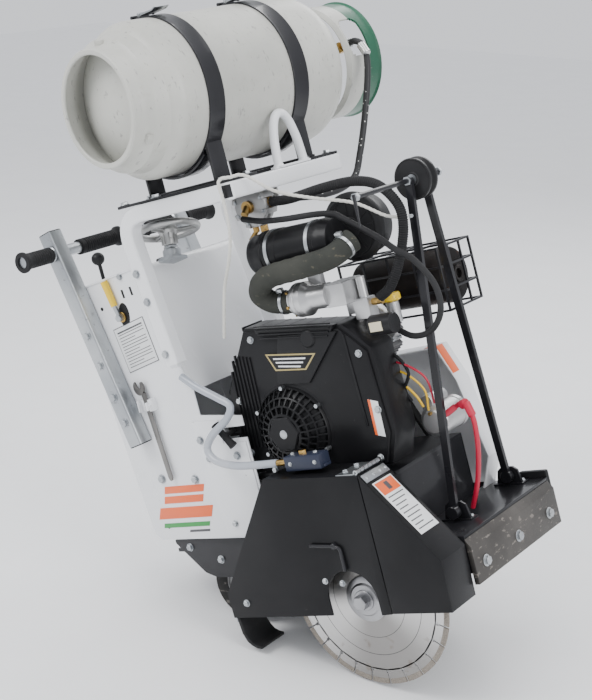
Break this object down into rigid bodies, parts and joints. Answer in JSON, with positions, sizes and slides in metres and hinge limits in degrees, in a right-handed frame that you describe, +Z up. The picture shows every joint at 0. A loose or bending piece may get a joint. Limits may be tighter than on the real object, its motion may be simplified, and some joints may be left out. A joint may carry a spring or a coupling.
{
  "type": "walk-behind concrete saw",
  "caption": "Walk-behind concrete saw with a V-twin engine, strapped fuel cylinder, hinged blade guard, depth yoke, folding front guide and T handles.",
  "frame": {"origin": "centre of the bounding box at floor level", "axes": "+X forward, +Y to the left of the machine, +Z up"},
  "size_m": [1.0656, 0.7014, 1.2733],
  "materials": {
    "painted_black": "gloss",
    "painted_white": "gloss",
    "tank_paint": "satin",
    "bare_steel": "worn",
    "zinc": "satin",
    "blade_steel": "brushed",
    "cast": "cast",
    "brass": "satin",
    "rubber": "matte",
    "engine_casting": "painted",
    "plastic": "moulded",
    "yellow": "vinyl",
    "red": "matte",
    "hose": "translucent",
    "rope": "braided"
  },
  "bodies": {
    "rotor": {"blade": "blade_steel", "blade_shaft": "blade_steel"},
    "crank": {"crankshaft": "blade_steel"},
    "rear_roller_near": {"rear_wheel_near": "rubber"},
    "rear_roller_far": {"rear_wheel_far": "rubber"},
    "yoke": {"depth_yoke": "painted_black"},
    "front_roller_near": {"front_wheel_near": "rubber"},
    "front_roller_far": {"front_wheel_far": "rubber"},
    "handwheel": {"depth_handwheel": "cast"},
    "guide": {"guide_arms": "painted_black"},
    "roller": {"guide_roller": "rubber"},
    "front_guard": {"blade_guard_front": "painted_black"},
    "latch": {"guard_latch": "painted_black"},
    "filler_cap": {"oil_cap": "yellow"},
    "starter_grip": {"recoil_grip": "rubber"},
    "tank_knob": {"valve_knob": "painted_black"},
    "buckle_near": {"latch_near": "zinc"},
    "buckle_far": {"latch_far": "zinc"},
    "water_valve": {"water_lever": "yellow"},
    "throttle": {"throttle_knob": "plastic"},
    "key": {"ignition_key": "zinc"},
    "spanner": {"wrench": "zinc"},
    "chassis": {"base_frame": "painted_black", "front_weight_bar": "bare_steel", "front_corner_cap": "painted_black", "blade_guard_rear": "painted_black", "mud_flap": "rubber", "drive_belt": "rubber", "belt_guard": "painted_white", "engine_block": "engine_casting", "blower_housing": "plastic", "recoil_cover": "plastic", "valve_cover_right": "cast", "starter_motor": "cast", "muffler": "painted_black", "muffler_cage": "painted_black", "air_cleaner": "plastic", "intake_elbow": "rubber", "fuel_mixer": "cast", "dust_bowl": "plastic", "side_panel_near": "painted_white", "side_panel_far": "painted_white", "console_cover": "painted_white", "battery": "plastic", "handle_near": "zinc", "handle_far": "zinc", "top_frame": "painted_white", "lifting_bail": "painted_white", "fuel_cylinder": "tank_paint", "cylinder_valve": "brass", "strap_near": "painted_black", "strap_far": "painted_black", "gas_regulator": "cast", "water_manifold": "plastic", "fuel_hose": "rubber", "corrugated_hose": "rubber", "vent_hose": "rubber", "water_hose": "hose", "battery_cable": "red", "pull_rope": "rope"}
  },
  "joints": [
    {"name": "blade_spin", "type": "hinge", "parent": "chassis", "child": "rotor", "pos_m": [0.31873, -0.25072, 0.183], "axis": [0, 1, 0], "continuous": true},
    {"name": "crank_spin", "type": "hinge", "parent": "chassis", "child": "crank", "pos_m": [0.09531, 0.10928, 0.45753], "axis": [0, 1, 0], "continuous": true},
    {"name": "rear_wheel_near_roll", "type": "hinge", "parent": "chassis", "child": "rear_roller_near", "pos_m": [-0.03731, -0.17372, 0.075], "axis": [0, 1, 0], "continuous": true},
    {"name": "rear_wheel_far_roll", "type": "hinge", "parent": "chassis", "child": "rear_roller_far", "pos_m": [-0.03731, 0.10829, 0.075], "axis": [0, 1, 0], "continuous": true},
    {"name": "depth_swing", "type": "hinge", "parent": "chassis", "child": "yoke", "pos_m": [0.07753, -0.05772, 0.08389], "axis": [0, -1, 0], "range_deg": [0, 30]},
    {"name": "front_wheel_near_roll", "type": "hinge", "parent": "yoke", "child": "front_roller_near", "pos_m": [0.24229, -0.16472, 0.062], "axis": [0, 1, 0], "continuous": true},
    {"name": "front_wheel_far_roll", "type": "hinge", "parent": "yoke", "child": "front_roller_far", "pos_m": [0.24229, 0.05029, 0.062], "axis": [0, 1, 0], "continuous": true},
    {"name": "depth_handwheel_turn", "type": "hinge", "parent": "chassis", "child": "handwheel", "pos_m": [-0.27174, -0.12871, 0.79908], "axis": [-0.4225, 0.2588, 0.8686], "range_deg": [0, 1500]},
    {"name": "guide_swing", "type": "hinge", "parent": "chassis", "child": "guide", "pos_m": [0.42509, -0.01072, 0.34147], "axis": [0, 1, 0], "range_deg": [0, 95]},
    {"name": "guide_roller_spin", "type": "hinge", "parent": "guide", "child": "roller", "pos_m": [0.27707, -0.04772, 0.96099], "axis": [0, 1, 0], "continuous": true},
    {"name": "front_guard_swing", "type": "hinge", "parent": "chassis", "child": "front_guard", "pos_m": [0.31713, -0.25572, 0.45577], "axis": [0, -1, 0], "range_deg": [0, 95]},
    {"name": "guard_latch_turn", "type": "hinge", "parent": "chassis", "child": "latch", "pos_m": [0.27102, -0.30372, 0.29789], "axis": [0, 1, 0], "range_deg": [0, 60]},
    {"name": "oil_cap_turn", "type": "hinge", "parent": "chassis", "child": "filler_cap", "pos_m": [0.24754, -0.07871, 0.72755], "axis": [-0.308, 0, 0.9514], "range_deg": [0, 90]},
    {"name": "recoil_grip_pull", "type": "slide", "parent": "chassis", "child": "starter_grip", "axis": [0, -1, 0], "range_m": [0, 0.3], "stiffness_N_per_m": 25},
    {"name": "valve_knob_turn", "type": "hinge", "parent": "chassis", "child": "tank_knob", "pos_m": [-0.16243, 0.29445, 1.11932], "axis": [0.1701, 0.9839, 0.0551], "range_deg": [0, 720]},
    {"name": "near_buckle_open", "type": "hinge", "parent": "chassis", "child": "buckle_near", "pos_m": [-0.28126, -0.16449, 1.24198], "axis": [-0.1701, -0.9839, -0.0551], "range_deg": [0, 110]},
    {"name": "far_buckle_open", "type": "hinge", "parent": "chassis", "child": "buckle_far", "pos_m": [-0.24264, 0.05885, 1.25448], "axis": [-0.1701, -0.9839, -0.0551], "range_deg": [0, 110]},
    {"name": "water_valve_turn", "type": "hinge", "parent": "chassis", "child": "water_valve", "pos_m": [-0.33464, -0.21771, 0.61999], "axis": [0, 1, 0], "range_deg": [0, 90]},
    {"name": "throttle_knob_pull", "type": "slide", "parent": "chassis", "child": "throttle", "axis": [-0.308, 0, 0.9514], "range_m": [0, 0.03]},
    {"name": "ignition_turn", "type": "hinge", "parent": "chassis", "child": "key", "pos_m": [-0.4312, -0.03071, 0.68123], "axis": [-0.308, 0, 0.9514], "range_deg": [0, 90]},
    {"name": "wrench_lift_out", "type": "slide", "parent": "chassis", "child": "spanner", "axis": [0, -1, 0], "range_m": [0, 0.15]}
  ],
  "couplings": [
    {"joint": "crank_spin", "follows": "blade_spin", "ratio": 1.3261},
    {"joint": "depth_handwheel_turn", "follows": "depth_swing", "ratio": 50}
  ]
}
